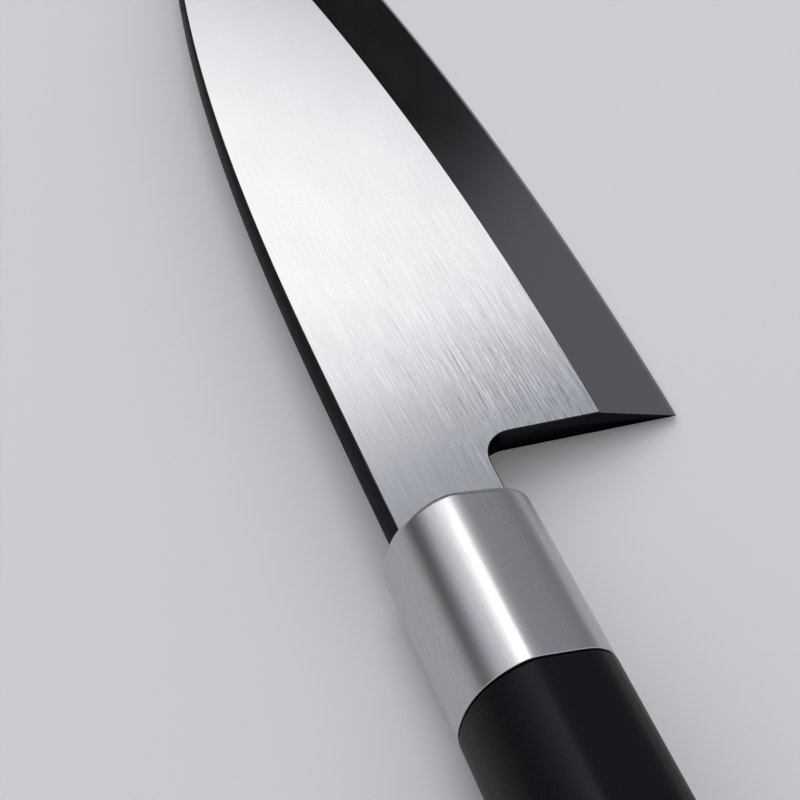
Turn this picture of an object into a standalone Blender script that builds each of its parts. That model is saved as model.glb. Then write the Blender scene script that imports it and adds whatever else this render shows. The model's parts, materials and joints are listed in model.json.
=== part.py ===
"""A fish knife of the deba kind: single-bevel blade, steel ferrule and moulded handle.

Units are metres. The pieces are built in the blade's own frame: X runs from the heel to
the tip, Y from the cutting edge to the spine and Z out of the blade's flat. The heel
meets the spine line at the origin. At the end the whole knife is laid down on the side
that it rests on, with Z = 0 at the table and the origin under the middle of its box.
"""
import math

import bmesh
import bpy
from mathutils import Matrix, Vector
from mathutils.geometry import intersect_ray_tri

COLLECTION = "deba_knife"

# Blade outline
BLADE_LENGTH = 0.1500
HEEL_HEIGHT = 0.0470
TIP_DROP = 0.0240
SPINE_STRAIGHT = 0.0100
SPINE_CURVE = 2.55
BELLY_FULLNESS = 0.915
GRIND_STOCK = 0.0009

# Blade thickness and grinds
SPINE_THICKNESS = 0.0042
TIP_THICKNESS = 0.0027
BEVEL_WIDTH_AT_HEEL = 0.0132
BEVEL_WIDTH_AT_TIP = 0.0159
BEVEL_WIDENING = 2.5
FINAL_BEVEL_WIDTH = 0.0006
FINAL_BEVEL_RISE = 0.0003
EDGE_LAND = 0.00006
CORNER_EASE = 0.0002
HOLLOW_DEPTH = 0.0003
HOLLOW_RIM_AT_SPINE = 0.0040
HOLLOW_RIM_AT_EDGE = 0.0022
HOLLOW_RIM_AT_HEEL = 0.0060
HOLLOW_RIM_AT_TIP = 0.0180
HOLLOW_END_SLOPE = 16.0

# Neck and tang
NECK_LENGTH = 0.0126
NECK_WIDTH = 0.0160
NOTCH_RADIUS = 0.0044
TANG_LENGTH = 0.0880
TANG_WIDTH = 0.0120
TANG_END_WIDTH = 0.0090
TANG_STEP = 0.0004
LOCK_HOLE_RADIUS = 0.0025
LOCK_HOLE_PLACES = (0.048, 0.074)

# Handle section, at the front of the ferrule
HALF_THICKNESS = 0.0106
HALF_WIDTH_SPINE_SIDE = 0.0101
HALF_WIDTH_EDGE_SIDE = 0.0098
ROUNDNESS_SPINE_SIDE = 2.30
ROUNDNESS_EDGE_SIDE = 2.0
FACET_DISTANCE = 0.00965
FACET_LEAN = math.radians(8.3)
FACET_HALF_ANGLE = math.radians(28.0)
FACET_REACH = math.radians(60.0)
RIDGE_CRISPNESS = 60.0
FAR_EDGE_CRISPNESS = 16.0

# Ferrule and handle
FERRULE_LENGTH = 0.0246
FERRULE_WALL = 0.0010
FERRULE_FACE = 0.0016
FERRULE_RIM_RADIUS = 0.0010
GRIP_LENGTH = 0.0970
BUTT_RADIUS = 0.0022
HANDLE_FLARE = 0.11

# Fits
CLEARANCE = 0.0003
SEAM = 0.0003

# Densities in kilograms per cubic metre, for finding how the knife lies
STEEL_DENSITY = 7750.0
PLASTIC_DENSITY = 1150.0

# Fineness of the curves
SECTION_POINTS = 96
BLADE_STATIONS = 64
HOLLOW_STATIONS = 24
HOLLOW_ROWS = 12
ARC_STEPS = 8
SMOOTH_ANGLE = math.radians(12.0)

# Places that follow from the sizes above
FERRULE_FRONT = -(NECK_LENGTH + SEAM)
FERRULE_REAR = FERRULE_FRONT - FERRULE_LENGTH
GRIP_FRONT = FERRULE_REAR - SEAM
BUTT_END = GRIP_FRONT - GRIP_LENGTH
HANDLE_AXIS_Y = -NECK_WIDTH / 2
BLADE_MIDDLE_Z = -SPINE_THICKNESS / 2
TANG_THICKNESS = SPINE_THICKNESS - 2 * TANG_STEP
SLOT_WIDTH = TANG_WIDTH + 2 * CLEARANCE
SLOT_HEIGHT = TANG_THICKNESS + 2 * CLEARANCE

# How far the cutting tools run on past the material, as lengths and as shares
CUTTER_REACH = 0.0080
BEVEL_OVERRUN = 0.0010
BEVEL_OVERRUN_SHARE = 0.4
STATION_OVERRUN = 0.03
HOLLOW_OVERRUN = 0.06
HOLLOW_CUTTER_THICKNESS = 0.0020

# A side counts as an underside when it looks at least this much downwards
UNDERSIDE_LIMIT = -0.7


def clear_scene():
    for thing in list(bpy.data.objects):
        bpy.data.objects.remove(thing, do_unlink=True)


def new_collection(name):
    collection = bpy.data.collections.new(name)
    bpy.context.scene.collection.children.link(collection)
    return collection


def new_material(name, colour, roughness, metallic):
    material = bpy.data.materials.new(name)
    material.use_nodes = True
    shader = material.node_tree.nodes["Principled BSDF"]
    shader.inputs["Base Color"].default_value = (*colour, 1.0)
    shader.inputs["Roughness"].default_value = roughness
    shader.inputs["Metallic"].default_value = metallic
    return material


def add_mesh_object(name, mesh, collection):
    thing = bpy.data.objects.new(name, mesh)
    collection.objects.link(thing)
    return thing


def mesh_from_curve(name, curve, collection):
    """The curve as a welded mesh object, with the curve itself removed."""
    source = bpy.data.objects.new(name + "_curve", curve)
    collection.objects.link(source)
    graph = bpy.context.evaluated_depsgraph_get()
    mesh = bpy.data.meshes.new_from_object(source.evaluated_get(graph))
    bpy.data.objects.remove(source, do_unlink=True)
    shape = bmesh.new()
    shape.from_mesh(mesh)
    bmesh.ops.remove_doubles(shape, verts=shape.verts, dist=0.000001)
    bmesh.ops.recalc_face_normals(shape, faces=shape.faces)
    shape.to_mesh(mesh)
    shape.free()
    mesh.name = name
    return add_mesh_object(name, mesh, collection)


def flat_outline(name, loops, thickness, middle_z, ease, collection):
    """A plate cut along closed loops in the XY plane, with its corners eased."""
    curve = bpy.data.curves.new(name, "CURVE")
    curve.dimensions = "2D"
    curve.fill_mode = "BOTH"
    curve.extrude = thickness / 2 - ease
    curve.bevel_depth = ease
    curve.bevel_resolution = 1
    curve.offset = -ease
    for loop in loops:
        spline = curve.splines.new("POLY")
        spline.points.add(len(loop) - 1)
        for point, (x, y) in zip(spline.points, loop):
            point.co = (x, y, 0.0, 1.0)
        spline.use_cyclic_u = True
    plate = mesh_from_curve(name, curve, collection)
    plate.data.transform(Matrix.Translation((0.0, 0.0, middle_z)))
    return plate


def shaped_sheet(name, along, across, place, thickness, collection):
    """A grid whose points are set by place(u, row), thickened into a closed cutter."""
    shape = bmesh.new()
    bmesh.ops.create_grid(shape, x_segments=along, y_segments=across, size=0.5)
    for vertex in shape.verts:
        u = vertex.co.x + 0.5
        row = round((vertex.co.y + 0.5) * across)
        vertex.co = place(u, row)
    mesh = bpy.data.meshes.new(name)
    shape.to_mesh(mesh)
    shape.free()
    sheet = add_mesh_object(name, mesh, collection)
    solidify = sheet.modifiers.new("thickness", "SOLIDIFY")
    solidify.thickness = abs(thickness)
    solidify.offset = math.copysign(1.0, thickness)
    return sheet


def boolean(target, tool, operation):
    modifier = target.modifiers.new(operation.lower() + "_" + tool.name, "BOOLEAN")
    modifier.operation = operation
    modifier.solver = "EXACT"
    modifier.object = tool


def spine_line(x):
    """The spine's Y: straight over the heel, then falling to the tip."""
    run = max(x - SPINE_STRAIGHT, 0.0) / (BLADE_LENGTH - SPINE_STRAIGHT)
    return -TIP_DROP * run**SPINE_CURVE


def edge_line(x):
    """The cutting edge's Y: a quarter ellipse from the heel corner up to the tip."""
    rise = HEEL_HEIGHT - TIP_DROP
    bulge = 1.0 - math.sqrt(1.0 - (BELLY_FULLNESS * x / BLADE_LENGTH) ** 2)
    return -HEEL_HEIGHT + rise * bulge / (1.0 - math.sqrt(1.0 - BELLY_FULLNESS**2))


def edge_normal(x):
    """The direction square to the cutting edge, towards the spine."""
    step = BLADE_LENGTH / 1000
    slope = (edge_line(x + step) - edge_line(x - step)) / (2 * step)
    return Vector((-slope, 1.0)).normalized()


def thickness_at(x):
    """The blank thins evenly from the heel to the tip."""
    share = min(max(x / BLADE_LENGTH, 0.0), 1.0)
    return SPINE_THICKNESS + (TIP_THICKNESS - SPINE_THICKNESS) * share


def blank_outline():
    """Spine, edge with grinding stock, square heel, notch and neck, as one loop."""
    loop = [(-NECK_LENGTH, 0.0), (0.0, 0.0)]
    steps = [i / BLADE_STATIONS for i in range(1, BLADE_STATIONS + 1)]
    loop += [(BLADE_LENGTH * s, spine_line(BLADE_LENGTH * s)) for s in steps]
    for s in reversed(steps):
        x = BLADE_LENGTH * s
        out = -edge_normal(x) * GRIND_STOCK
        loop.append((x + out.x, edge_line(x) + out.y))
    loop.append((0.0, -HEEL_HEIGHT - GRIND_STOCK))
    centre = Vector((-NOTCH_RADIUS, -NECK_WIDTH - NOTCH_RADIUS))
    for i in range(ARC_STEPS + 1):
        angle = math.pi / 2 * i / ARC_STEPS
        loop.append(tuple(centre + NOTCH_RADIUS * Vector((math.cos(angle), math.sin(angle)))))
    loop.append((-NECK_LENGTH, -NECK_WIDTH))
    return loop


def circle(centre_x, centre_y, radius, steps=24):
    turns = [2 * math.pi * i / steps for i in range(steps)]
    return [(centre_x + radius * math.cos(t), centre_y + radius * math.sin(t)) for t in turns]


def tang_loops(grow, reach):
    """The tang's outline, tapered to a round end, and its lock holes.

    grow widens it for the socket that it sits in, and reach is where it starts.
    """
    start = -NECK_LENGTH
    end = start - TANG_LENGTH
    half_start = TANG_WIDTH / 2 + grow
    half_end = TANG_END_WIDTH / 2 + grow
    centre_x = end + TANG_END_WIDTH / 2
    loop = [(reach, HANDLE_AXIS_Y - half_start), (reach, HANDLE_AXIS_Y + half_start)]
    loop.append((start, HANDLE_AXIS_Y + half_start))
    for i in range(2 * ARC_STEPS + 1):
        angle = math.pi / 2 + math.pi * i / (2 * ARC_STEPS)
        x = centre_x + half_end * math.cos(angle)
        loop.append((x, HANDLE_AXIS_Y + half_end * math.sin(angle)))
    loop.append((start, HANDLE_AXIS_Y - half_start))
    holes = [
        circle(start - place, HANDLE_AXIS_Y, LOCK_HOLE_RADIUS - grow)
        for place in LOCK_HOLE_PLACES
    ]
    return [loop] + holes


def bevel_width_at(x):
    """The wide bevel's width, square to the cutting edge: it widens towards the tip."""
    share = min(max(x / BLADE_LENGTH, 0.0), 1.0)
    return BEVEL_WIDTH_AT_HEEL + (BEVEL_WIDTH_AT_TIP - BEVEL_WIDTH_AT_HEEL) * share**BEVEL_WIDENING


def bevel_section(x):
    """The grind's section at x, from outside the edge over both bevels to past the ridge.

    Each row is the distance in from the cutting edge and the height above the back.
    """
    width = bevel_width_at(x)
    thickness = thickness_at(x)
    foot = EDGE_LAND + FINAL_BEVEL_RISE
    steepness = (thickness - foot) / (width - FINAL_BEVEL_WIDTH)
    beyond = width * BEVEL_OVERRUN_SHARE
    return [
        (-BEVEL_OVERRUN, EDGE_LAND - BEVEL_OVERRUN),
        (0.0, EDGE_LAND),
        (FINAL_BEVEL_WIDTH, foot),
        (width, thickness),
        (width + beyond, thickness + steepness * beyond),
    ]


def bevel_place(u, row):
    """A point of the ground face, ruled from the cutting edge to the ridge."""
    x = BLADE_LENGTH * (u + STATION_OVERRUN * (2 * u - 1))
    inward, height = bevel_section(x)[row]
    normal = edge_normal(x)
    return Vector((x + normal.x * inward, edge_line(x) + normal.y * inward, height - thickness_at(x)))


def hollow_place(u, row):
    """A point of the shallow hollow ground into the back, inside its flat rim."""
    v = row / HOLLOW_ROWS
    across = v + HOLLOW_OVERRUN * (2 * v - 1)
    along = u + HOLLOW_OVERRUN * (2 * u - 1)
    start = HOLLOW_RIM_AT_HEEL
    x = start + (BLADE_LENGTH - HOLLOW_RIM_AT_TIP - start) * along
    low = edge_line(x) + HOLLOW_RIM_AT_EDGE
    high = spine_line(x) - HOLLOW_RIM_AT_SPINE
    end_fade = min(HOLLOW_END_SLOPE * along * (1 - along), 1.0)
    depth = HOLLOW_DEPTH * end_fade * 4 * across * (1 - across)
    depth = max(depth, -HOLLOW_DEPTH)
    return Vector((x, low + (high - low) * across, depth - thickness_at(x)))


def build_blade(parts, cutters):
    blank = flat_outline(
        "blade", [blank_outline()], SPINE_THICKNESS, BLADE_MIDDLE_Z, CORNER_EASE, parts
    )
    for vertex in blank.data.vertices:
        vertex.co.z *= thickness_at(vertex.co.x) / SPINE_THICKNESS
    tang = flat_outline(
        "tang_stock",
        tang_loops(0.0, -NECK_LENGTH / 2),
        TANG_THICKNESS,
        BLADE_MIDDLE_Z,
        0.0,
        cutters,
    )
    boolean(blank, tang, "UNION")
    rows = len(bevel_section(0.0)) - 1
    grind = shaped_sheet("bevel_grind", BLADE_STATIONS, rows, bevel_place, CUTTER_REACH, cutters)
    boolean(blank, grind, "DIFFERENCE")
    hollow = shaped_sheet(
        "back_hollow",
        HOLLOW_STATIONS,
        HOLLOW_ROWS,
        hollow_place,
        -HOLLOW_CUTTER_THICKNESS,
        cutters,
    )
    boolean(blank, hollow, "DIFFERENCE")
    return blank


def section_outline(inset):
    """The handle's oval, sliced by one leaning facet, as points (Y, Z) about its axis."""
    points = []
    for i in range(SECTION_POINTS):
        angle = 2 * math.pi * i / SECTION_POINTS
        y = math.cos(angle)
        z = math.sin(angle)
        half_width = HALF_WIDTH_SPINE_SIDE if y > 0 else HALF_WIDTH_EDGE_SIDE
        power = ROUNDNESS_SPINE_SIDE if y > 0 else ROUNDNESS_EDGE_SIDE
        oval = (abs(y / half_width) ** power + abs(z / HALF_THICKNESS) ** power) ** (-1 / power)
        off_normal = math.pi / 2 + FACET_LEAN - angle
        off_normal = (off_normal + math.pi) % (2 * math.pi) - math.pi
        radius = oval
        if abs(off_normal) < FACET_REACH:
            facet = FACET_DISTANCE / math.cos(off_normal)
            share = min(max(0.5 + off_normal / (2 * FACET_HALF_ANGLE), 0.0), 1.0)
            crisp = FAR_EDGE_CRISPNESS + (RIDGE_CRISPNESS - FAR_EDGE_CRISPNESS) * share
            radius = (oval**-crisp + facet**-crisp) ** (-1 / crisp)
        points.append(((radius - inset) * y, (radius - inset) * z))
    return points


def flare_at(x):
    """How much larger the section is at x than at the front of the ferrule."""
    return 1.0 + HANDLE_FLARE * (FERRULE_FRONT - x) / (FERRULE_FRONT - BUTT_END)


def handle_sweep(name, stations, inset, collection):
    """The handle's section swept along its axis, scaled at each (x, scale) station."""
    outline = bpy.data.curves.new(name + "_section", "CURVE")
    outline.dimensions = "2D"
    spline = outline.splines.new("POLY")
    points = section_outline(inset)
    spline.points.add(len(points) - 1)
    for point, (y, z) in zip(spline.points, points):
        point.co = (y, z, 0.0, 1.0)
    spline.use_cyclic_u = True
    section = bpy.data.objects.new(name + "_section", outline)
    collection.objects.link(section)
    path = bpy.data.curves.new(name, "CURVE")
    path.dimensions = "3D"
    path.bevel_mode = "OBJECT"
    path.bevel_object = section
    path.use_fill_caps = True
    run = path.splines.new("POLY")
    run.points.add(len(stations) - 1)
    for point, (x, scale) in zip(run.points, stations):
        point.co = (x, HANDLE_AXIS_Y, BLADE_MIDDLE_Z, 1.0)
        point.radius = scale
    sweep = mesh_from_curve(name, path, collection)
    bpy.data.objects.remove(section, do_unlink=True)
    return sweep


def rounded_end(end, radius, inwards):
    """Stations that round the section's rim over at one end; inwards is +1 or -1 in X."""
    stations = []
    for i in range(ARC_STEPS + 1):
        angle = math.pi / 2 * i / ARC_STEPS
        x = end + inwards * radius * (1 - math.sin(angle))
        shrink = radius * (1 - math.cos(angle)) / HALF_THICKNESS
        stations.append((x, flare_at(x) - shrink))
    return stations


def build_ferrule(parts, cutters):
    front = list(reversed(rounded_end(FERRULE_FRONT, FERRULE_RIM_RADIUS, -1)))
    stations = front + [(FERRULE_REAR, flare_at(FERRULE_REAR))]
    ferrule = handle_sweep("ferrule", stations, 0.0, parts)
    inner_front = FERRULE_FRONT - FERRULE_FACE
    beyond = FERRULE_REAR - CUTTER_REACH
    cavity_stations = [(inner_front, flare_at(inner_front)), (beyond, flare_at(beyond))]
    cavity = handle_sweep("ferrule_cavity", cavity_stations, FERRULE_WALL, cutters)
    boolean(ferrule, cavity, "DIFFERENCE")
    slot_shape = bmesh.new()
    bmesh.ops.create_cube(slot_shape, size=1.0)
    slot_size = (2 * CUTTER_REACH, SLOT_WIDTH, SLOT_HEIGHT)
    bmesh.ops.scale(slot_shape, vec=slot_size, verts=slot_shape.verts)
    slot_place = (FERRULE_FRONT, HANDLE_AXIS_Y, BLADE_MIDDLE_Z)
    bmesh.ops.translate(slot_shape, vec=slot_place, verts=slot_shape.verts)
    mesh = bpy.data.meshes.new("ferrule_slot")
    slot_shape.to_mesh(mesh)
    slot_shape.free()
    boolean(ferrule, add_mesh_object("ferrule_slot", mesh, cutters), "DIFFERENCE")
    return ferrule


def build_handle(parts, cutters):
    stations = [(GRIP_FRONT, flare_at(GRIP_FRONT))] + rounded_end(BUTT_END, BUTT_RADIUS, 1)
    handle = handle_sweep("handle", stations, 0.0, parts)
    spigot_front = FERRULE_FRONT - FERRULE_FACE - CLEARANCE
    spigot_rear = GRIP_FRONT - CUTTER_REACH
    spigot_stations = [(spigot_front, flare_at(spigot_front)), (spigot_rear, flare_at(spigot_rear))]
    inset = FERRULE_WALL + CLEARANCE
    spigot = handle_sweep("handle_spigot", spigot_stations, inset, cutters)
    boolean(handle, spigot, "UNION")
    socket = flat_outline(
        "tang_socket",
        tang_loops(CLEARANCE, FERRULE_FRONT + CUTTER_REACH),
        SLOT_HEIGHT,
        BLADE_MIDDLE_Z,
        0.0,
        cutters,
    )
    boolean(handle, socket, "DIFFERENCE")
    return handle


def finish_piece(piece, material):
    piece.data.materials.clear()
    piece.data.materials.append(material)
    piece.data.shade_smooth()
    piece.data.set_sharp_from_angle(angle=SMOOTH_ANGLE)


def weigh(piece, density):
    """A piece's weight, its weight times the place of its centre, and its points."""
    graph = bpy.context.evaluated_depsgraph_get()
    shape = bmesh.new()
    shape.from_object(piece, graph)
    bmesh.ops.triangulate(shape, faces=shape.faces)
    weight = 0.0
    moment = Vector((0.0, 0.0, 0.0))
    for face in shape.faces:
        a, b, c = (vertex.co for vertex in face.verts)
        share = density * a.dot(b.cross(c)) / 6
        weight += share
        moment += share * (a + b + c) / 4
    points = [vertex.co.copy() for vertex in shape.verts]
    shape.free()
    return weight, moment, points


def lay_down(pieces):
    """Turns the knife onto the underside that its weight falls through.

    That is a face of the knife's convex hull: it touches the table with the ferrule and
    the cutting edge. Then the knife is set on Z = 0 with its box centred on the origin.
    """
    weight = 0.0
    moment = Vector((0.0, 0.0, 0.0))
    points = []
    for piece, density in pieces:
        piece_weight, piece_moment, piece_points = weigh(piece, density)
        weight += piece_weight
        moment += piece_moment
        points += piece_points
    balance = moment / weight
    hull = bmesh.new()
    for point in points:
        hull.verts.new(point)
    bmesh.ops.convex_hull(hull, input=hull.verts)
    hull.normal_update()
    down = Vector((0.0, 0.0, -1.0))
    resting = down
    for face in hull.faces:
        corners = [vertex.co for vertex in face.verts]
        outward = face.normal
        if outward.dot(corners[0] - balance) < 0:
            outward = -outward
        underneath = outward.z < UNDERSIDE_LIMIT
        if underneath and intersect_ray_tri(*corners[:3], outward, balance, True):
            resting = outward.copy()
    hull.free()
    turn = resting.rotation_difference(down).to_matrix()
    heading = turn @ Vector((1.0, 0.0, 0.0))
    turn = Matrix.Rotation(-math.atan2(heading.y, heading.x), 3, "Z") @ turn
    turned = [turn @ point for point in points]
    lows = [min(point[axis] for point in turned) for axis in range(3)]
    highs = [max(point[axis] for point in turned) for axis in range(3)]
    rest = bpy.data.objects.new("lying_on_its_side", None)
    bpy.data.collections[COLLECTION].objects.link(rest)
    rest.matrix_world = Matrix.Translation(
        (-(lows[0] + highs[0]) / 2, -(lows[1] + highs[1]) / 2, -lows[2])
    ) @ turn.to_4x4()
    return rest


def main():
    clear_scene()
    parts = new_collection(COLLECTION)
    cutters = new_collection("cutters")
    blade = build_blade(parts, cutters)
    ferrule = build_ferrule(parts, cutters)
    handle = build_handle(parts, cutters)
    finish_piece(blade, new_material("blade_steel", (0.62, 0.62, 0.63), 0.30, 1.0))
    finish_piece(ferrule, new_material("ferrule_steel", (0.58, 0.56, 0.55), 0.36, 1.0))
    finish_piece(handle, new_material("handle_plastic", (0.018, 0.018, 0.020), 0.55, 0.0))
    rest = lay_down([(blade, STEEL_DENSITY), (ferrule, STEEL_DENSITY), (handle, PLASTIC_DENSITY)])
    for piece in list(parts.objects) + list(cutters.objects):
        if piece is not rest:
            piece.parent = rest
    for cutter in cutters.objects:
        cutter.hide_render = True
        cutter.display_type = "WIRE"


main()
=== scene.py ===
# %% [markdown]
# # A fish knife with a single-bevel blade
#
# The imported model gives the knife's exact solids: blade, ferrule and handle. This lesson
# dresses them. It sets up the camera, builds the finishes as node groups, gives the blade
# its ground faces, sweeps the ferrule and the handle with Geometry Nodes, and lights it all.
# Lengths are in metres.

# %% Load the frame
import json
import math

import bmesh
import bpy
from mathutils import Matrix, Vector


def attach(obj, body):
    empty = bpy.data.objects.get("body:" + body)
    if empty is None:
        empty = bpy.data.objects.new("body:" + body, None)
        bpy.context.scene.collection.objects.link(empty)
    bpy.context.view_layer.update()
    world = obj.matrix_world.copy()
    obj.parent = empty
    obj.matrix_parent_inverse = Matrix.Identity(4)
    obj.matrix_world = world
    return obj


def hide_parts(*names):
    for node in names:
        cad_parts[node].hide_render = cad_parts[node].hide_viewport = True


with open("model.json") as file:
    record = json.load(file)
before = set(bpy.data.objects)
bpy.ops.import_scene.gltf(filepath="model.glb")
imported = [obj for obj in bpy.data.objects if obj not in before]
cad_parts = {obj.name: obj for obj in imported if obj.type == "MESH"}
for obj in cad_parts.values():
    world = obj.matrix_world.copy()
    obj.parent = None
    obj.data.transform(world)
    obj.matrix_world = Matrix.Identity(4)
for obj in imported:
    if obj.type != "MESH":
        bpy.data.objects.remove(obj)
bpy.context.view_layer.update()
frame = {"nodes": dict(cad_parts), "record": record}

# %% [markdown]
# ## The blade's own frame
#
# The knife lies on its side and leans on its cutting edge, so nothing on it is level. It is
# easier to think in the blade's own frame: X from the heel to the tip, Y from the cutting
# edge to the spine, Z out of the flat. The record's mount on the flat says where that frame
# is: it lies 60 mm from the heel and 18 mm below the spine.

# %% Blade frame
MOUNT_FROM_HEEL = 0.060
MOUNT_BELOW_SPINE = 0.018

flat_mount = next(m for m in frame["record"]["mounts"] if m["name"] == "blade_flat")
out_of_flat = Vector(flat_mount["axis"]).normalized()
to_tip = Vector((out_of_flat.z, 0.0, -out_of_flat.x)).normalized()
to_spine = out_of_flat.cross(to_tip)
heel = Vector(flat_mount["pos_m"]) - MOUNT_FROM_HEEL * to_tip + MOUNT_BELOW_SPINE * to_spine
knife = Matrix((to_tip, to_spine, out_of_flat)).transposed().to_4x4()
knife.translation = heel
print("The flat leans", round(math.degrees(out_of_flat.angle(Vector((0, 0, 1)))), 1), "degrees")

# %% [markdown]
# ## The camera
#
# The photograph looks along the knife from behind and above the handle. A camera fitted to
# the blade's outline gives its place and the point that it aims at, both in the blade's
# frame, and a small roll. The focal length comes from the same fit.

# %% Camera
CAMERA_PLACE = Vector((-0.13197, 0.08357, 0.17845))
CAMERA_AIM = Vector((0.00817, -0.00835, 0.0))
CAMERA_ROLL = math.radians(1.52)
SENSOR_WIDTH = 36.0
FOCAL_LENGTH = 85.5
CLIP_START = 0.01

camera = bpy.data.objects.new("camera", bpy.data.cameras.new("camera"))
bpy.context.scene.collection.objects.link(camera)
bpy.context.scene.camera = camera
camera.data.sensor_width = SENSOR_WIDTH
camera.data.lens = FOCAL_LENGTH
camera.data.clip_start = CLIP_START
camera.location = knife @ CAMERA_PLACE
line_of_sight = knife @ CAMERA_AIM - camera.location
turn = line_of_sight.to_track_quat("-Z", "Y").to_matrix() @ Matrix.Rotation(CAMERA_ROLL, 3, "Z")
camera.rotation_euler = turn.to_euler()
sideways = turn @ Vector((1.0, 0.0, 0.0))
print("Camera is", round(line_of_sight.length, 3), "m away; its right side points to", sideways)

# %% [markdown]
# ## Building node trees in a script
#
# A node tree is nodes, values and links. A few small helpers keep the trees readable: one
# adds a node and fills its sockets, and three do the same for a Math, a Map Range and a Mix
# node, where only the result matters. The last one makes a node group with named sockets.

# %% Node helpers
def add_node(tree, kind, inputs=None, **settings):
    """Adds a node. A value in inputs may be a number or another node's output socket."""
    node = tree.nodes.new(kind)
    for name, value in settings.items():
        setattr(node, name, value)
    for name, value in (inputs or {}).items():
        if isinstance(value, bpy.types.NodeSocket):
            tree.links.new(value, node.inputs[name])
        else:
            node.inputs[name].default_value = value
    return node


def maths(tree, operation, *values):
    """A Math node's result."""
    return add_node(tree, "ShaderNodeMath", dict(enumerate(values)), operation=operation).outputs[0]


def fade(tree, value, low, high, at_low, at_high):
    """A smooth change from one level to another while the value goes from low to high."""
    inputs = {"Value": value, "From Min": low, "From Max": high, "To Min": at_low, "To Max": at_high}
    return add_node(tree, "ShaderNodeMapRange", inputs, interpolation_type="SMOOTHSTEP").outputs["Result"]


def mix_colour(tree, factor, first, second):
    """A blend from the first colour to the second."""
    inputs = {"Factor": factor, 6: first, 7: second}
    return add_node(tree, "ShaderNodeMix", inputs, data_type="RGBA").outputs[2]


def new_group(name, kind, inputs, outputs):
    """A node group with its sockets. inputs maps a name to (socket type, default)."""
    tree = bpy.data.node_groups.new(name, kind)
    for label, (socket_type, default) in inputs.items():
        socket = tree.interface.new_socket(label, in_out="INPUT", socket_type=socket_type)
        if default is not None:
            socket.default_value = default
    for label, socket_type in outputs.items():
        tree.interface.new_socket(label, in_out="OUTPUT", socket_type=socket_type)
    source = tree.nodes.new("NodeGroupInput").outputs
    sink = tree.nodes.new("NodeGroupOutput").inputs
    return tree, source, sink


FLOAT = "NodeSocketFloat"

# %% [markdown]
# ## Coordinates along the knife
#
# Brushing follows the blade, so its pattern needs the blade's frame. Every finished piece
# sits at the scene's origin, so Object coordinates are the scene's own, and a Mapping node
# of the Texture kind turns them back into a frame of our choice. The grinding belt ran a
# little across the blade, so the brushing has its own frame, turned by a few degrees.

# %% Pattern coordinates
BRUSHING_TURN = math.radians(2.35)
NOISE_MEAN = 0.5

brushing_frame = knife @ Matrix.Rotation(BRUSHING_TURN, 4, "Z")


def pattern_place(tree, pattern_frame):
    """Object coordinates, turned into the pattern's own frame."""
    place = tree.nodes.new("ShaderNodeTexCoord").outputs["Object"]
    inputs = {
        "Vector": place,
        "Location": pattern_frame.translation,
        "Rotation": pattern_frame.to_euler(),
    }
    return add_node(tree, "ShaderNodeMapping", inputs, vector_type="TEXTURE").outputs["Vector"]


def noise(tree, place, size, stretch, detail):
    """Noise with grains of one size across the pattern, stretched along it."""
    inputs = {0: place, 1: (1 / (size * stretch), 1 / size, 1 / size)}
    scaled = add_node(tree, "ShaderNodeVectorMath", inputs, operation="MULTIPLY").outputs[0]
    inputs = {"Vector": scaled, "Scale": 1.0, "Detail": detail}
    return add_node(tree, "ShaderNodeTexNoise", inputs).outputs["Fac"]


def around_zero(tree, value, amount):
    """Noise lies between 0 and 1: this centres it on zero and scales it."""
    return maths(tree, "MULTIPLY", maths(tree, "SUBTRACT", value, NOISE_MEAN), amount)


# %% [markdown]
# ## Lengthwise brushing
#
# The flat is finished on a belt that runs from heel to tip. It leaves soft bands about a
# millimetre wide, hair-fine scratches between them and short nicks from single grains.
# Noise that is stretched far gives straight lines, and one more noise, the strokes, makes
# each of them come and go. "Fading" lets the marks grow fainter with the distance from a
# point near the heel's corner. The group puts out the marks, which are zero on average: they
# serve as a shade for the colour and as a height for a Bump node, which spreads a reflection
# a little. In the colour they are partly the steel's own brushed tone and partly painted
# streaks of highlight, strongest near the heel's corner.

# %% Brushing group
# Each kind of line has a width, a stretch along the blade and a strength.
WIDE_BANDS = (0.0013, 60.0, 0.4)
NARROW_BANDS = (0.00042, 60.0, 0.9)
SCRATCHES = (0.00017, 50.0, 2.4)
NICKS = (0.00015, 10.0, 1.2)
LINE_DETAIL = 1.0
STROKE_WIDTH = 0.0006
STROKE_STRETCH = 30.0
STROKE_DETAIL = 2.0
STROKE_NOISE_ENDS = (0.35, 0.65)
FAINT_AND_STRONG = (0.6, 1.4)
# Where the painted streaks of highlight are strongest, and how far away they fade.
STREAKS_STRONGEST_AT = (0.003, -0.026, 0.0)
STREAK_FADE_REACH = 0.0105


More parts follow.
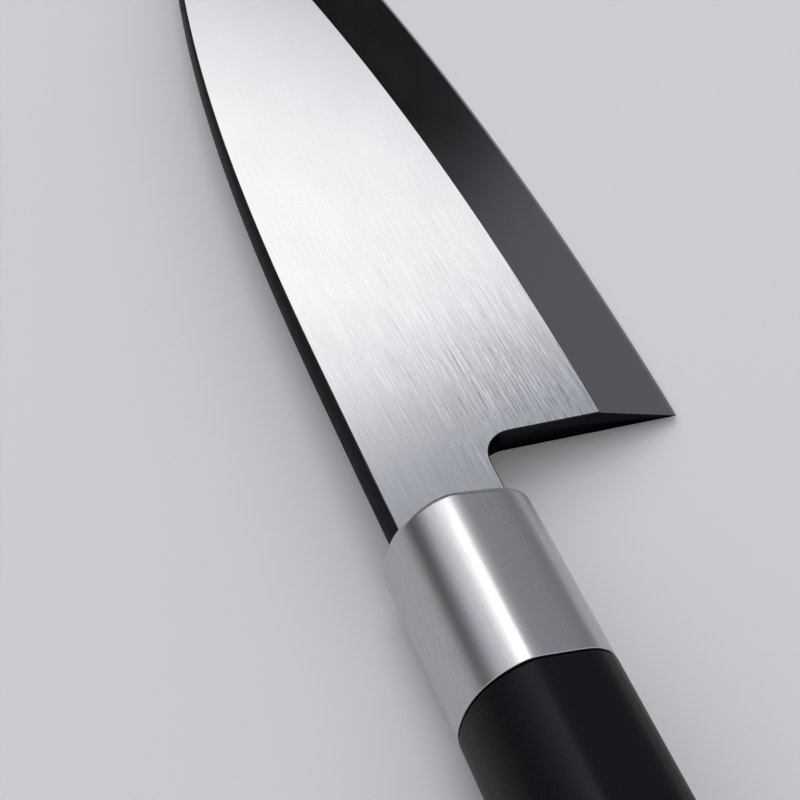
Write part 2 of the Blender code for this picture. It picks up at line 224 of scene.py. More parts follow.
def make_brushing():
    tree, source, sink = new_group(
        "lengthwise_brushing",
        "ShaderNodeTree",
        {"Bands": (FLOAT, 1.0), "Scratches": (FLOAT, 1.0), "Fading": (FLOAT, 0.0)},
        {"Marks": FLOAT},
    )
    place = pattern_place(tree, brushing_frame)
    strokes = noise(tree, place, STROKE_WIDTH, STROKE_STRETCH, STROKE_DETAIL)
    strokes = fade(tree, strokes, *STROKE_NOISE_ENDS, *FAINT_AND_STRONG)

    def lines(width, stretch, strength):
        straight = around_zero(tree, noise(tree, place, width, stretch, LINE_DETAIL), strength)
        return maths(tree, "MULTIPLY", straight, strokes)

    wide = lines(*WIDE_BANDS)
    narrow = lines(*NARROW_BANDS)
    bands = maths(tree, "MULTIPLY", maths(tree, "ADD", wide, narrow), source["Bands"])
    scratches = lines(*SCRATCHES)
    nicks = lines(*NICKS)
    fine = maths(tree, "MULTIPLY", maths(tree, "ADD", scratches, nicks), source["Scratches"])
    # The painted streaks of highlight fade with the distance from where they are strongest.
    inputs = {0: place, 1: STREAKS_STRONGEST_AT}
    away = add_node(tree, "ShaderNodeVectorMath", inputs, operation="DISTANCE").outputs["Value"]
    away = maths(tree, "POWER", maths(tree, "DIVIDE", away, STREAK_FADE_REACH), 2.0)
    lost = maths(tree, "MULTIPLY_ADD", away, source["Fading"], 1.0)
    marks = maths(tree, "DIVIDE", maths(tree, "ADD", bands, fine), lost)
    tree.links.new(marks, sink["Marks"])
    return tree


brushing = make_brushing()
print("The brushing group has", len(brushing.nodes), "nodes")

# %% [markdown]
# ## Traces of handling
#
# A knife that is used is never evenly clean. Broad, faint clouds of wiped water and skin
# change how sharp the reflections are. The same group serves steel and plastic.

# %% Handling group
CLOUD_SIZE = 0.009
CLOUD_STRETCH = 1.5
CLOUD_DETAIL = 4.0


def make_handling():
    tree, source, sink = new_group(
        "traces_of_handling", "ShaderNodeTree", {"Amount": (FLOAT, 1.0)}, {"Change": FLOAT}
    )
    place = pattern_place(tree, knife)
    clouds = around_zero(tree, noise(tree, place, CLOUD_SIZE, CLOUD_STRETCH, CLOUD_DETAIL), 1.0)
    tree.links.new(maths(tree, "MULTIPLY", clouds, source["Amount"]), sink["Change"])
    return tree


handling = make_handling()
print("The handling group has", len(handling.nodes), "nodes")

# %% [markdown]
# ## Ground steel
#
# Every ground face of the blade is the same steel, and the last belt was finer on each bevel:
# satin on the flat, much finer on the wide bevel, finer still on the final bevel. The
# colours differ too. The wide bevel is darker than the flat, partly for its finer finish and
# partly as painted shade; the final bevel is painted dark, as painted shade in place of a
# dark reflection. The spine and the cut at the heel are painted nearly black, and their
# reflections are dimmed at a glancing angle too: painted shade in place of dark reflections.
# One function makes them all, with the brushing group and the handling group at different
# strengths.

# %% Steel finishes
BUMP_DISTANCE = 0.00003
STEEL_CLOUDS = 0.06
MIDDLE_SHADE = 0.5
ROUGHNESS_PER_MARK = -0.05


def new_material(name):
    """A material with its node tree and its Principled BSDF."""
    material = bpy.data.materials.new(name)
    material.use_nodes = True
    tree = material.node_tree
    return material, tree, tree.nodes["Principled BSDF"]


def use_group(tree, group, **inputs):
    """Places a node group in a tree, with its own values."""
    node = tree.nodes.new("ShaderNodeGroup")
    node.node_tree = group
    for name, value in inputs.items():
        node.inputs[name.replace("_", " ")].default_value = value
    return node.outputs


def steel_finish(name, colour, roughness, bands, scratches, contrast, bump, edge_tint=1.0, fading=0.0):
    """Steel whose colour and roughness vary with the brushing."""
    material, tree, shader = new_material(name)
    brushed = use_group(tree, brushing, Bands=bands, Scratches=scratches, Fading=fading)
    touched = use_group(tree, handling, Amount=STEEL_CLOUDS)
    low = [c * (1.0 - contrast) for c in colour]
    high = [min(c * (1.0 + contrast), 1.0) for c in colour]
    shade = maths(tree, "ADD", brushed["Marks"], MIDDLE_SHADE)
    tree.links.new(mix_colour(tree, shade, (*low, 1.0), (*high, 1.0)), shader.inputs["Base Color"])
    rough = maths(tree, "MULTIPLY_ADD", brushed["Marks"], ROUGHNESS_PER_MARK, roughness)
    tree.links.new(maths(tree, "ADD", rough, touched["Change"]), shader.inputs["Roughness"])
    inputs = {"Height": brushed["Marks"], "Strength": bump, "Distance": BUMP_DISTANCE}
    bumped = add_node(tree, "ShaderNodeBump", inputs).outputs["Normal"]
    tree.links.new(bumped, shader.inputs["Normal"])
    shader.inputs["Metallic"].default_value = 1.0
    shader.inputs["Specular Tint"].default_value = (edge_tint, edge_tint, edge_tint, 1.0)
    return material


# The flat's strong contrast paints streaks of highlight into its colour, on top of the steel's own brushed
# tone.
satin_flat = steel_finish(
    "satin_flat", (0.62, 0.62, 0.63), roughness=0.16,
    bands=0.8, scratches=1.0, contrast=0.48, bump=0.05, fading=1.0,
)
# Painted shade in part: the wide bevel's colour is darker than the flat's.
ground_bevel = steel_finish(
    "ground_bevel", (0.35, 0.34, 0.35), roughness=0.17,
    bands=0.4, scratches=0.5, contrast=0.05, bump=0.01,
)
# Painted shade: the final bevel's dark colour stands in for a dark reflection.
honed_edge = steel_finish(
    "honed_edge", (0.16, 0.16, 0.17), roughness=0.15,
    bands=0.3, scratches=0.6, contrast=0.05, bump=0.01,
)
hollow_back = steel_finish(
    "hollow_back", (0.55, 0.55, 0.56), roughness=0.28,
    bands=0.8, scratches=1.0, contrast=0.25, bump=0.08,
)
# Painted shade: the spine's colour is nearly black and its glancing reflections are dimmed.
spine_painted_dark = steel_finish(
    "spine_painted_dark", (0.024, 0.024, 0.026), roughness=0.36,
    bands=0.8, scratches=1.2, contrast=0.20, bump=0.08, edge_tint=0.5,
)
# Painted shade: the heel cut's colour is nearly black and its glancing reflections are dimmed.
cut_painted_dark = steel_finish(
    "cut_painted_dark", (0.020, 0.020, 0.021), roughness=0.36,
    bands=0.8, scratches=1.2, contrast=0.20, bump=0.08, edge_tint=0.25,
)
FINISHES = [satin_flat, ground_bevel, honed_edge, hollow_back, spine_painted_dark, cut_painted_dark]
print("Steel finishes:", [finish.name for finish in FINISHES])

# %% [markdown]
# ## The blade
#
# The solid already has the right shape: flat, ruled bevel, narrow final bevel, hollow back
# and eased corners. So a copy of it is merged into one skin, and each face gets its finish
# from the way it looks in the blade's frame. Between two finishes the edge is a ground
# arris, so it stays sharp, and everything else is shaded smooth.

# %% Blade
FLAT, BEVEL, FINAL_BEVEL, BACK, SPINE, CUT = range(len(FINISHES))
MERGE_DISTANCE = 0.000001
SMOOTH_ANGLE = math.radians(28)
# A tilt is in degrees, between a face's normal and the way out of the flat. The last two
# values are limits for the normal's Y.
FLAT_MAX_TILT = 5
BEVEL_MAX_TILT = 21
FINAL_BEVEL_MAX_TILT = 33
BACK_MIN_TILT = 170
FACES_EDGE = -0.1
FACES_SPINE = 0.3


def merged_copy(node, name):
    """A copy of a CAD node with its loose triangles merged into one skin."""
    piece = bpy.data.objects.new(name, frame["nodes"][node].data.copy())
    bpy.context.scene.collection.objects.link(piece)
    skin = bmesh.new()
    skin.from_mesh(piece.data)
    bmesh.ops.remove_doubles(skin, verts=skin.verts, dist=MERGE_DISTANCE)
    skin.to_mesh(piece.data)
    skin.free()
    piece.data.name = name
    return piece


def finish_of(centre, normal):
    """Which grind a face belongs to, from its place and normal in the blade's frame."""
    tilt = math.degrees(normal.angle(Vector((0.0, 0.0, 1.0))))
    towards_edge = centre.x > 0.0 and normal.y < FACES_EDGE
    if tilt < FLAT_MAX_TILT:
        return FLAT
    if tilt < BEVEL_MAX_TILT and towards_edge:
        return BEVEL
    if tilt < FINAL_BEVEL_MAX_TILT and towards_edge:
        return FINAL_BEVEL
    if tilt > BACK_MIN_TILT:
        return BACK
    return SPINE if normal.y > FACES_SPINE else CUT


def dress_blade():
    blade = merged_copy("blade", "blade_steel")
    blade.data.materials.clear()
    for finish in FINISHES:
        blade.data.materials.append(finish)
    to_blade = knife.inverted()
    turn_to_blade = to_blade.to_3x3()
    skin = bmesh.new()
    skin.from_mesh(blade.data)
    areas = [0.0] * len(FINISHES)
    for face in skin.faces:
        face.smooth = True
        centre = to_blade @ face.calc_center_median()
        face.material_index = finish_of(centre, turn_to_blade @ face.normal)
        areas[face.material_index] += face.calc_area()
    for edge in skin.edges:
        one, other = edge.link_faces
        same = one.material_index == other.material_index
        edge.smooth = same and edge.calc_face_angle() < SMOOTH_ANGLE
    skin.to_mesh(blade.data)
    skin.free()
    for finish, area in zip(FINISHES, areas):
        print(f"{finish.name}: {area * 1e4:.1f} square centimetres")
    return blade


blade = dress_blade()
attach(blade, "root")
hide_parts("blade")

# %% [markdown]
# ## The section of ferrule and handle
#
# Ferrule and handle share one section: an oval, a little fuller on the spine's side, that
# is sliced by one leaning facet. Where the facet meets the oval there is a crisp ridge on
# one side, for the fingers, and a soft corner on the other. The section is a rule in the
# angle around the axis, so Geometry Nodes can make it: a circle's points are moved to the
# radius that the rule gives, and the outline is swept along the axis.

# %% Section rule
SECTION_POINTS = 240
RIM_STEPS = 14
LEAST_FACING = 0.1
SIZES = {
    "Half Thickness": 0.0106,
    "Spine Side Half Width": 0.0101,
    "Edge Side Half Width": 0.0098,
    "Spine Side Roundness": 2.30,
    "Edge Side Roundness": 2.0,
    "Facet Distance": 0.00965,
    "Facet Lean": math.radians(8.3),
    "Facet Half Angle": math.radians(28.0),
    "Ridge Crispness": 60.0,
    "Far Corner Crispness": 16.0,
    "Inset": 0.0,
    "Front": 0.0,
    "Rear": -0.1,
    "Front Rounding": 0.001,
    "Rear Rounding": 0.001,
    "Flare Start": -0.0129,
    "Flare Length": 0.1219,
    "Flare": 0.11,
    "Axis Below Spine": 0.0080,
    "Axis Below Flat": 0.0021,
}


def section_point(tree, size):
    """Where a point of the profile circle goes, as a vector."""
    index = tree.nodes.new("GeometryNodeInputIndex").outputs[0]
    angle = maths(tree, "MULTIPLY", index, 2 * math.pi / SECTION_POINTS)
    y = maths(tree, "COSINE", angle)
    z = maths(tree, "SINE", angle)
    spine_side = maths(tree, "GREATER_THAN", y, 0.0)

    def of_side(spine, edge):
        step = maths(tree, "SUBTRACT", size[spine], size[edge])
        return maths(tree, "MULTIPLY_ADD", step, spine_side, size[edge])

    half_width = of_side("Spine Side Half Width", "Edge Side Half Width")
    power = of_side("Spine Side Roundness", "Edge Side Roundness")
    across = maths(tree, "ABSOLUTE", maths(tree, "DIVIDE", y, half_width))
    upward = maths(tree, "ABSOLUTE", maths(tree, "DIVIDE", z, size["Half Thickness"]))
    total = maths(tree, "ADD", maths(tree, "POWER", across, power), maths(tree, "POWER", upward, power))
    oval = maths(tree, "POWER", total, maths(tree, "DIVIDE", -1.0, power))
    lean = maths(tree, "ADD", size["Facet Lean"], math.pi / 2)
    off_facet = maths(tree, "WRAP", maths(tree, "SUBTRACT", lean, angle), math.pi, -math.pi)
    towards = maths(tree, "MAXIMUM", maths(tree, "COSINE", off_facet), LEAST_FACING)
    facet = maths(tree, "DIVIDE", size["Facet Distance"], towards)
    ridge_share = add_node(
        tree,
        "ShaderNodeMapRange",
        {
            "Value": off_facet,
            "From Min": maths(tree, "MULTIPLY", size["Facet Half Angle"], -1.0),
            "From Max": size["Facet Half Angle"],
            "To Min": size["Far Corner Crispness"],
            "To Max": size["Ridge Crispness"],
        },
    ).outputs["Result"]
    ratio = maths(tree, "POWER", maths(tree, "DIVIDE", oval, facet), ridge_share)
    cut = maths(tree, "POWER", maths(tree, "ADD", ratio, 1.0), maths(tree, "DIVIDE", -1.0, ridge_share))
    radius = maths(tree, "SUBTRACT", maths(tree, "MULTIPLY", oval, cut), size["Inset"])
    x_out = maths(tree, "MULTIPLY", radius, y)
    y_out = maths(tree, "MULTIPLY", maths(tree, "MULTIPLY", radius, z), -1.0)
    return add_node(tree, "ShaderNodeCombineXYZ", {"X": x_out, "Y": y_out}).outputs[0]


# %% [markdown]
# ## Stations along the axis
#
# The sweep has two rows of stations, one for each end. Within a row they follow a quarter
# circle, so that the end is rounded over: the place moves in along the axis while the
# outline grows to its full size. On top of that the whole handle flares towards the butt.

# %% Station rule
def station(tree, size):
    """A station's place on the axis and the scale of the outline there."""
    index = tree.nodes.new("GeometryNodeInputIndex").outputs[0]
    last = 2 * RIM_STEPS + 1
    quarter = math.pi / 2 / RIM_STEPS

    def rounding(steps, radius):
        turn = maths(tree, "MULTIPLY", maths(tree, "MINIMUM", steps, RIM_STEPS), quarter)
        inward = maths(tree, "MULTIPLY", maths(tree, "SUBTRACT", 1.0, maths(tree, "COSINE", turn)), radius)
        shrink = maths(tree, "MULTIPLY", maths(tree, "SUBTRACT", 1.0, maths(tree, "SINE", turn)), radius)
        return inward, shrink

    front_in, front_shrink = rounding(index, size["Front Rounding"])
    rear_in, rear_shrink = rounding(maths(tree, "SUBTRACT", last, index), size["Rear Rounding"])
    front_x = maths(tree, "SUBTRACT", size["Front"], front_in)
    rear_x = maths(tree, "ADD", size["Rear"], rear_in)
    at_rear = maths(tree, "GREATER_THAN", index, RIM_STEPS + 0.5)
    x = maths(tree, "MULTIPLY_ADD", maths(tree, "SUBTRACT", rear_x, front_x), at_rear, front_x)
    run = maths(tree, "DIVIDE", maths(tree, "SUBTRACT", size["Flare Start"], x), size["Flare Length"])
    flare = maths(tree, "MULTIPLY_ADD", run, size["Flare"], 1.0)
    shrink = maths(tree, "DIVIDE", maths(tree, "ADD", front_shrink, rear_shrink), size["Half Thickness"])
    scale = maths(tree, "SUBTRACT", flare, shrink)
    y = maths(tree, "MULTIPLY", size["Axis Below Spine"], -1.0)
    z = maths(tree, "MULTIPLY", size["Axis Below Flat"], -1.0)
    place = add_node(tree, "ShaderNodeCombineXYZ", {"X": x, "Y": y, "Z": z}).outputs[0]
    return place, scale


# %% [markdown]
# ## The sweep
#
# The tree puts the two rules together. Its inputs are the sizes above, so the same tree
# makes the ferrule, the hollow inside it, the grip and the spigot that the ferrule sits on.

# %% Sweep tree
def make_sweep():
    inputs = {name: (FLOAT, value) for name, value in SIZES.items()}
    inputs["Material"] = ("NodeSocketMaterial", None)
    tree, size, sink = new_group(
        "handle_sweep", "GeometryNodeTree", inputs, {"Geometry": "NodeSocketGeometry"}
    )
    circle = add_node(
        tree, "GeometryNodeCurvePrimitiveCircle", {"Resolution": SECTION_POINTS}
    ).outputs["Curve"]
    outline = add_node(
        tree,
        "GeometryNodeSetPosition",
        {"Geometry": circle, "Position": section_point(tree, size)},
    ).outputs[0]
    line = tree.nodes.new("GeometryNodeCurvePrimitiveLine")
    line.inputs["Start"].default_value = (0.0, 0.0, 0.0)
    line.inputs["End"].default_value = (-1.0, 0.0, 0.0)
    stations = add_node(
        tree, "GeometryNodeResampleCurve", {"Curve": line.outputs[0], "Count": 2 * RIM_STEPS + 2}
    ).outputs[0]
    place, scale = station(tree, size)
    axis = add_node(
        tree, "GeometryNodeSetPosition", {"Geometry": stations, "Position": place}
    ).outputs[0]
    swept = add_node(
        tree,
        "GeometryNodeCurveToMesh",
        {"Curve": axis, "Profile Curve": outline, "Scale": scale, "Fill Caps": True},
    ).outputs[0]
    welded = add_node(
        tree, "GeometryNodeMergeByDistance", {"Geometry": swept, "Distance": MERGE_DISTANCE}
    ).outputs[0]
    real = add_node(tree, "GeometryNodeRealizeInstances", {"Geometry": welded}).outputs[0]
    done = add_node(
        tree, "GeometryNodeSetMaterial", {"Geometry": real, "Material": size["Material"]}
    ).outputs[0]
    tree.links.new(done, sink["Geometry"])
    return tree


handle_sweep = make_sweep()
print("The sweep tree has", len(handle_sweep.nodes), "nodes")

# %% [markdown]
# ## Satin ferrule and moulded plastic
#
# The ferrule is stainless steel with a fine, even satin. The handle is black plastic whose
# mould was textured, so it has a fine grain that scatters the light and keeps only a soft
# grey sheen. The grain's hollows are painted darker than its tops, as painted shade, and the
# sheen is tinted a little blue, as a painted tint of the light. Both take the handling group
# again, with their own amounts.

# %% Ferrule and handle materials
GRAIN_SIZE = 0.00035
GRAIN_STRETCH = 1.0
GRAIN_DETAIL = 3.0
GRAIN_STRENGTH = 0.6
GRAIN_DEPTH = 0.00005
PLASTIC_CLOUDS = 0.14
PLASTIC_ROUGHNESS = 0.46
# The grain's hollows are painted darker than its tops: painted shade.
PLASTIC_SHADED_HOLLOWS = (0.001, 0.001, 0.0013, 1.0)
PLASTIC_LIGHTER_TOPS = (0.003, 0.003, 0.0036, 1.0)
PLASTIC_SHEEN = 0.17
# The sheen's blue tint is painted light.
PLASTIC_SHEEN_PAINTED_TINT = (0.85, 0.89, 1.05, 1.0)


def make_plastic():
    material, tree, shader = new_material("black_plastic")
    grain = noise(tree, pattern_place(tree, knife), GRAIN_SIZE, GRAIN_STRETCH, GRAIN_DETAIL)
    touched = use_group(tree, handling, Amount=PLASTIC_CLOUDS)
    inputs = {"Height": grain, "Strength": GRAIN_STRENGTH, "Distance": GRAIN_DEPTH}
    bumped = add_node(tree, "ShaderNodeBump", inputs).outputs["Normal"]
    tree.links.new(bumped, shader.inputs["Normal"])
    rough = maths(tree, "ADD", touched["Change"], PLASTIC_ROUGHNESS)
    tree.links.new(rough, shader.inputs["Roughness"])
    # Painted shade: the grain's hollows get the darker colour.
    colour = mix_colour(tree, grain, PLASTIC_SHADED_HOLLOWS, PLASTIC_LIGHTER_TOPS)
    tree.links.new(colour, shader.inputs["Base Color"])
    shader.inputs["Specular IOR Level"].default_value = PLASTIC_SHEEN
    # Painted light: the sheen is tinted a little blue.
    shader.inputs["Specular Tint"].default_value = PLASTIC_SHEEN_PAINTED_TINT
    return material


satin_ferrule = steel_finish(
    "satin_ferrule", (0.525, 0.515, 0.52), roughness=0.33,
    bands=0.4, scratches=0.7, contrast=0.07, bump=0.01,
)
black_plastic = make_plastic()
print("More finishes:", satin_ferrule.name, "and", black_plastic.name)

# %% [markdown]
# ## From the tree to a solid
#
# A Geometry Nodes tree works inside a modifier, so each piece starts as an empty holder with
# that modifier and the piece's own sizes. A modifier's input is set by its socket's
# identifier, because Blender knows the socket by that and not by its name. The result is
# copied to a plain mesh and moved to the knife's place, and the holder is removed. A sweep
# can come out with its faces pointing inwards, so the normals are worked out again.

# %% Sweeping a piece
def input_identifier(tree, name):
    """The identifier of an input socket, from its name."""
    for item in tree.interface.items_tree:
        if item.in_out == "INPUT" and item.name == name:
            return item.identifier


def sweep(name, material, **sizes):
    """A closed solid from the sweep tree, as a plain mesh in the knife's place."""
    holder = bpy.data.objects.new(name + "_nodes", bpy.data.meshes.new(name + "_nodes"))
    nodes = holder.modifiers.new("sweep", "NODES")
    nodes.node_group = handle_sweep
    for label, value in sizes.items():
        nodes[input_identifier(handle_sweep, label.replace("_", " "))] = value
    nodes[input_identifier(handle_sweep, "Material")] = material
    bpy.context.scene.collection.objects.link(holder)
    graph = bpy.context.evaluated_depsgraph_get()
    mesh = bpy.data.meshes.new_from_object(holder.evaluated_get(graph))
    bpy.data.objects.remove(holder, do_unlink=True)
    mesh.name = name
    mesh.transform(knife)
    skin = bmesh.new()
    skin.from_mesh(mesh)
    bmesh.ops.recalc_face_normals(skin, faces=skin.faces)
    skin.to_mesh(mesh)
    skin.free()
    solid = bpy.data.objects.new(name, mesh)
    bpy.context.scene.collection.objects.link(solid)
    return solid


# %% [markdown]
# ## Cutting and joining
#
# Ferrule and handle are hollow where another piece goes in. Boolean modifiers cut one closed
# solid out of another or join two, and the result is turned into a plain mesh. The openings
# for the flat tang are cut with plates: a closed outline that gets a thickness.

# %% Solid helpers
def combine(target, tool, operation):
    """Cuts or joins two closed solids and removes the tool."""
    boolean = target.modifiers.new(operation.lower(), "BOOLEAN")
    boolean.operation = operation
    boolean.solver = "EXACT"
    boolean.object = tool
    graph = bpy.context.evaluated_depsgraph_get()
    mesh = bpy.data.meshes.new_from_object(target.evaluated_get(graph))
    mesh.name = target.name
    target.modifiers.clear()
    target.data = mesh
    bpy.data.objects.remove(tool, do_unlink=True)


def plate(name, loops, low, high):
    """A closed plate between two heights, cut along loops in the blade's frame."""
    curve = bpy.data.curves.new(name, "CURVE")
    curve.dimensions = "2D"
    curve.fill_mode = "BOTH"
    curve.extrude = (high - low) / 2
    for loop in loops:
        spline = curve.splines.new("POLY")
        spline.points.add(len(loop) - 1)
        for point, (x, y) in zip(spline.points, loop):
            point.co = (x, y, 0.0, 1.0)
        spline.use_cyclic_u = True
    source = bpy.data.objects.new(name + "_curve", curve)
    bpy.context.scene.collection.objects.link(source)
    graph = bpy.context.evaluated_depsgraph_get()
    mesh = bpy.data.meshes.new_from_object(source.evaluated_get(graph))
    bpy.data.objects.remove(source, do_unlink=True)
    mesh.transform(knife @ Matrix.Translation((0.0, 0.0, (low + high) / 2)))
    skin = bmesh.new()
    skin.from_mesh(mesh)
    bmesh.ops.remove_doubles(skin, verts=skin.verts, dist=MERGE_DISTANCE)
    bmesh.ops.recalc_face_normals(skin, faces=skin.faces)
    skin.to_mesh(mesh)
    skin.free()
    solid = bpy.data.objects.new(name, mesh)
    bpy.context.scene.collection.objects.link(solid)
    return solid


def finish_swept(piece, node, material):
    """Shades a piece, hides its CAD node and prints the piece's box."""
    piece.data.materials.clear()
    piece.data.materials.append(material)
    piece.data.shade_smooth()
    piece.data.set_sharp_from_angle(angle=SMOOTH_ANGLE)
    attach(piece, "root")
    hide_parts(node)
    size = [max(v.co[a] for v in piece.data.vertices) - min(v.co[a] for v in piece.data.vertices)
            for a in range(3)]
    print(piece.name, "faces", len(piece.data.polygons), "box in mm", [round(s * 1000, 2) for s in size])


# %% [markdown]
# ## The ferrule
#
# The real ferrule is a thin steel cap that is pressed on the handle's spigot. It is closed in
# front, apart from the slot that the tang goes through. Here it is a swept solid, minus a
# smaller sweep and minus a plate for the slot. Its outer skin lies a hair inside the packed
# solid's, and so does the grip's, so that neither grows past its solid.

# %% Ferrule
SKIN_INSET = 0.00003
FERRULE_FRONT = -0.0129
FERRULE_REAR = -0.0375
FERRULE_WALL = 0.0010
FERRULE_FACE = 0.0016
FERRULE_RIM = 0.0010
MOUTH_RIM = 0.00012
BLADE_THICKNESS = 0.0042
AXIS_Y = -0.0080
CUT_PAST = 0.004
SLOT_WIDTH = 0.0126
SLOT_HEIGHT = 0.0040


def make_ferrule():
    cap = sweep("ferrule_cap", satin_ferrule, Front=FERRULE_FRONT, Rear=FERRULE_REAR,
                Inset=SKIN_INSET, Front_Rounding=FERRULE_RIM, Rear_Rounding=MOUTH_RIM)
    hollow = sweep("ferrule_hollow", satin_ferrule, Front=FERRULE_FRONT - FERRULE_FACE,
                   Rear=FERRULE_REAR - CUT_PAST, Inset=FERRULE_WALL,
                   Front_Rounding=MOUTH_RIM, Rear_Rounding=MOUTH_RIM)
    combine(cap, hollow, "DIFFERENCE")
    low, high = AXIS_Y - SLOT_WIDTH / 2, AXIS_Y + SLOT_WIDTH / 2
    near, far = FERRULE_FRONT + CUT_PAST, FERRULE_FRONT - CUT_PAST
    middle = -BLADE_THICKNESS / 2
    slot = plate("ferrule_slot", [[(near, low), (near, high), (far, high), (far, low)]],
                 middle - SLOT_HEIGHT / 2, middle + SLOT_HEIGHT / 2)
    combine(cap, slot, "DIFFERENCE")
    return cap


ferrule = make_ferrule()
finish_swept(ferrule, "ferrule", satin_ferrule)

# %% [markdown]
# ## The grip
#
# The handle is one moulding: the grip, and the spigot that reaches into the ferrule. It was
# moulded round the tang, so it has a socket of the tang's outline with a little clearance.
# Two pillars of plastic stay in the socket, where the tang has its lock holes.

# %% Grip
SEAM = 0.0003
GRIP_FRONT = FERRULE_REAR - SEAM
BUTT_END = -0.1348
BUTT_ROUNDING = 0.0022
GRIP_RIM = 0.0002
CLEARANCE = 0.0003
TANG_START = -0.0126
TANG_LENGTH = 0.0880
TANG_WIDTH = 0.0120
TANG_END_WIDTH = 0.0090
LOCK_HOLE_RADIUS = 0.0025
LOCK_HOLE_PLACES = (0.048, 0.074)
ARC_STEPS = 8
PILLAR_HALF_STEPS = 12


def socket_loops():
    """The tang's outline with clearance all round, and its two lock pillars."""
    end_x = TANG_START - TANG_LENGTH + TANG_END_WIDTH / 2
    half_start = TANG_WIDTH / 2 + CLEARANCE
    half_end = TANG_END_WIDTH / 2 + CLEARANCE
    mouth = FERRULE_FRONT + CUT_PAST
    outline = [(mouth, AXIS_Y - half_start), (mouth, AXIS_Y + half_start)]
    outline.append((TANG_START, AXIS_Y + half_start))
    for i in range(2 * ARC_STEPS + 1):
        angle = math.pi / 2 + math.pi * i / (2 * ARC_STEPS)
        outline.append((end_x + half_end * math.cos(angle), AXIS_Y + half_end * math.sin(angle)))
    outline.append((TANG_START, AXIS_Y - half_start))
    loops = [outline]
    for place in LOCK_HOLE_PLACES:
        turns = [math.pi * i / PILLAR_HALF_STEPS for i in range(2 * PILLAR_HALF_STEPS)]
        radius = LOCK_HOLE_RADIUS - CLEARANCE
        loops.append([(TANG_START - place + radius * math.cos(t), AXIS_Y + radius * math.sin(t))
                      for t in turns])
    return loops


def make_grip():
    grip = sweep("handle_grip", black_plastic, Front=GRIP_FRONT, Rear=BUTT_END + SKIN_INSET,
                 Inset=SKIN_INSET, Front_Rounding=GRIP_RIM, Rear_Rounding=BUTT_ROUNDING)
    spigot = sweep("handle_spigot", black_plastic, Inset=FERRULE_WALL + CLEARANCE,
                   Front=FERRULE_FRONT - FERRULE_FACE - CLEARANCE, Rear=GRIP_FRONT - CUT_PAST,
                   Front_Rounding=GRIP_RIM, Rear_Rounding=GRIP_RIM)
    combine(grip, spigot, "UNION")
    middle = -BLADE_THICKNESS / 2
    socket = plate("tang_socket", socket_loops(), middle - SLOT_HEIGHT / 2, middle + SLOT_HEIGHT / 2)
    combine(grip, socket, "DIFFERENCE")
    return grip


grip = make_grip()
finish_swept(grip, "handle", black_plastic)

# %% [markdown]
# ## Floor
#
# The knife lies on a plain pale floor, which is large enough to fill every view.

# %% Floor
FLOOR_HALF_SIZE = 6.0
FLOOR_COLOUR = (0.67, 0.675, 0.69, 1.0)
FLOOR_ROUGHNESS = 0.8


def make_floor():
    mesh = bpy.data.meshes.new("floor")
    shape = bmesh.new()
    bmesh.ops.create_grid(shape, x_segments=1, y_segments=1, size=FLOOR_HALF_SIZE)
    shape.to_mesh(mesh)
    shape.free()
    floor = bpy.data.objects.new("floor", mesh)
    bpy.context.scene.collection.objects.link(floor)
    material, _, shader = new_material("pale_floor")
    shader.inputs["Base Color"].default_value = FLOOR_COLOUR
    shader.inputs["Roughness"].default_value = FLOOR_ROUGHNESS
    mesh.materials.append(material)
    return floor


floor = make_floor()
print("The floor is", 2 * FLOOR_HALF_SIZE, "m wide")

# %% [markdown]
# ## Light
#
# Polished steel is a mirror, so lighting it means deciding what it reflects. A world shader
# can hold a whole studio: its colour depends on the direction that a ray leaves in. The flat
# looks towards a wide soft panel beyond the tip. The panel's right edge slants through the
# place where the flat's neck looks, so the flat fades from white to grey there. The wide
# bevel looks below the panel, where the room is dim, and a grey card on the right lightens
# its heel. The room is bright behind the camera, which lights the floor evenly.
#
# An edge is given in degrees around from +X, and for a slanting one in degrees up as well.
# Its softness is half the width of its fade, in degrees. The other fades are given by where
# they start and end on one axis of the direction, which runs from -1 to 1.

# %% Studio room
ROOM_TINT = (0.85, 0.89, 1.0, 1.0)
WHITE = (1.0, 1.0, 1.0, 1.0)
ROOM_BEHIND = 0.80
ROOM_BEHIND_FADE = (-0.5, 0.5)
ROOM_AHEAD_HIGH = 0.48
ROOM_AHEAD_LOW = 0.01
ROOM_AHEAD_FADE = (0.31, 0.67)
LEFT_SIDE_SHARE = 2.0
LEFT_SIDE_FADE = (0.1, 0.7)
CARD_LEVEL = 0.26
CARD_EDGE = -48.3
CARD_SOFTNESS = 2.2
CARD_TOP_FADE = (0.30, 0.50)
PANEL_LEVEL = 1.61
PANEL_RIGHT_EDGE = ((-44.0, 35.0), (-39.2, 40.0))
PANEL_RIGHT_SOFTNESS = 1.65
PANEL_LEFT_EDGE = 35.6
PANEL_LEFT_SOFTNESS = 19.4
PANEL_BOTTOM_FADE = (0.39, 0.56)
PANEL_TOP_FADE = (0.90, 0.98)


def direction(azimuth, elevation):
    """A unit vector, from degrees around from +X and up from the floor."""
    around, up = math.radians(azimuth), math.radians(elevation)
    return Vector((math.cos(around) * math.cos(up), math.sin(around) * math.cos(up), math.sin(up)))


def side_of(tree, looking, normal, softness):
    """1 on the normal's side of a plane through the knife, 0 on the other, soft between."""
    inputs = {0: looking, 1: normal}
    beyond = add_node(tree, "ShaderNodeVectorMath", inputs, operation="DOT_PRODUCT").outputs["Value"]
    half = math.sin(math.radians(softness))
    return fade(tree, beyond, -half, half, 0.0, 1.0)


def blend(tree, share, first, second):
    """A level between the first and the second."""
    return maths(tree, "MULTIPLY_ADD", maths(tree, "SUBTRACT", second, first), share, first)


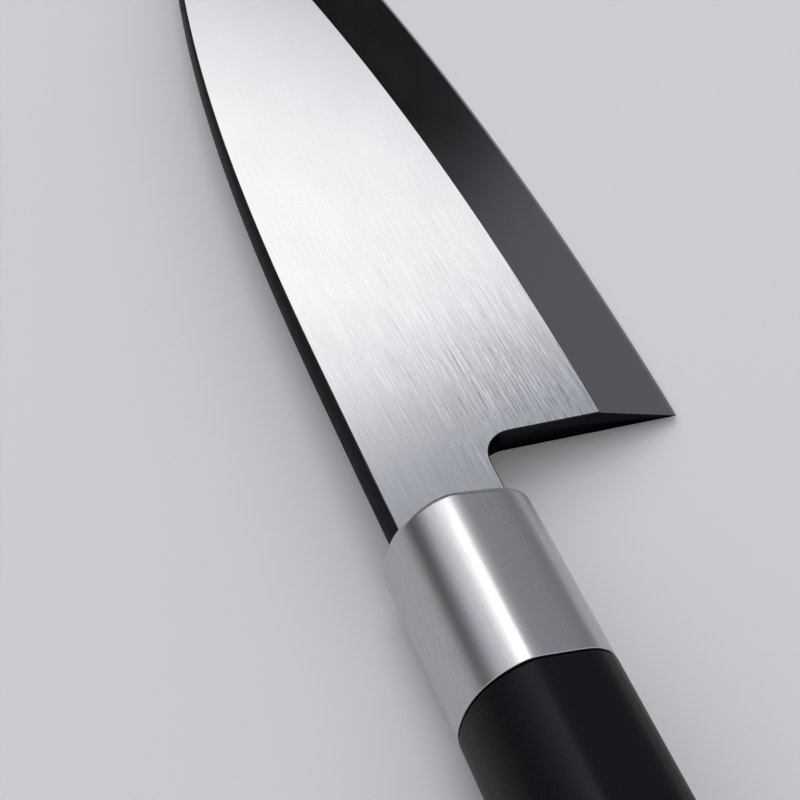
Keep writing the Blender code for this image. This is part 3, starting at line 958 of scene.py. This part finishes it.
def make_world():
    world = bpy.data.worlds.new("studio")
    world.use_nodes = True
    tree = world.node_tree
    looking = tree.nodes.new("ShaderNodeTexCoord").outputs["Generated"]
    axes = add_node(tree, "ShaderNodeSeparateXYZ", {"Vector": looking}).outputs
    ahead = fade(tree, axes["Z"], *ROOM_AHEAD_FADE, ROOM_AHEAD_LOW, ROOM_AHEAD_HIGH)
    left = fade(tree, axes["Y"], *LEFT_SIDE_FADE, 1.0, LEFT_SIDE_SHARE)
    ahead = maths(tree, "MULTIPLY", ahead, left)
    card = side_of(tree, looking, direction(CARD_EDGE - 90.0, 0.0), CARD_SOFTNESS)
    card_height = fade(tree, axes["Z"], *CARD_TOP_FADE, CARD_LEVEL, 0.0)
    card = maths(tree, "MULTIPLY", card, card_height)
    ahead = maths(tree, "ADD", ahead, card)
    behind_share = fade(tree, axes["X"], *ROOM_BEHIND_FADE, 1.0, 0.0)
    room = blend(tree, behind_share, ahead, ROOM_BEHIND)
    lower, upper = (direction(*end) for end in PANEL_RIGHT_EDGE)
    panel = side_of(tree, looking, upper.cross(lower).normalized(), PANEL_RIGHT_SOFTNESS)
    left_limit = side_of(tree, looking, direction(PANEL_LEFT_EDGE - 90.0, 0.0), PANEL_LEFT_SOFTNESS)
    panel = maths(tree, "MULTIPLY", panel, left_limit)
    panel = maths(tree, "MULTIPLY", panel, fade(tree, axes["Z"], *PANEL_BOTTOM_FADE, 0.0, 1.0))
    panel = maths(tree, "MULTIPLY", panel, fade(tree, axes["Z"], *PANEL_TOP_FADE, 1.0, 0.0))
    light = blend(tree, panel, room, PANEL_LEVEL)
    background = tree.nodes["Background"].inputs
    tree.links.new(light, background["Strength"])
    whiteness = maths(tree, "MAXIMUM", panel, behind_share)
    tree.links.new(mix_colour(tree, whiteness, ROOM_TINT, WHITE), background["Color"])
    bpy.context.scene.world = world
    print("The studio has", len(tree.nodes), "nodes")


make_world()

# %% [markdown]
# ## Overhead lamp
#
# The room alone would give hardly any shadow. A soft lamp almost overhead, a little beyond
# the tip, sets the knife on the floor: the heel throws its shadow towards the handle.

# %% Lamp
LAMP_DISTANCE = 1.0
LAMP_SIZE = 0.50
LAMP_LEVEL = 2.6
LAMP_AZIMUTH = 0.0
LAMP_ELEVATION = 72.0


def add_lamp(name, azimuth, elevation):
    """A square soft light that looks at the knife; its level is what a mirror would see."""
    data = bpy.data.lights.new(name, "AREA")
    data.shape = "SQUARE"
    data.size = LAMP_SIZE
    data.energy = LAMP_LEVEL * math.pi * LAMP_SIZE**2
    lamp = bpy.data.objects.new(name, data)
    lamp.visible_camera = False
    lamp.location = direction(azimuth, elevation) * LAMP_DISTANCE
    lamp.rotation_euler = (-lamp.location).to_track_quat("-Z", "Y").to_euler()
    bpy.context.scene.collection.objects.link(lamp)
    print(name, "power", round(data.energy, 2), "W")


add_lamp("overhead_softbox", LAMP_AZIMUTH, LAMP_ELEVATION)

# %% [markdown]
# ## View transform
#
# The Standard view transform shows colours about as they are written.

# %% View transform
bpy.context.scene.view_settings.view_transform = "Standard"
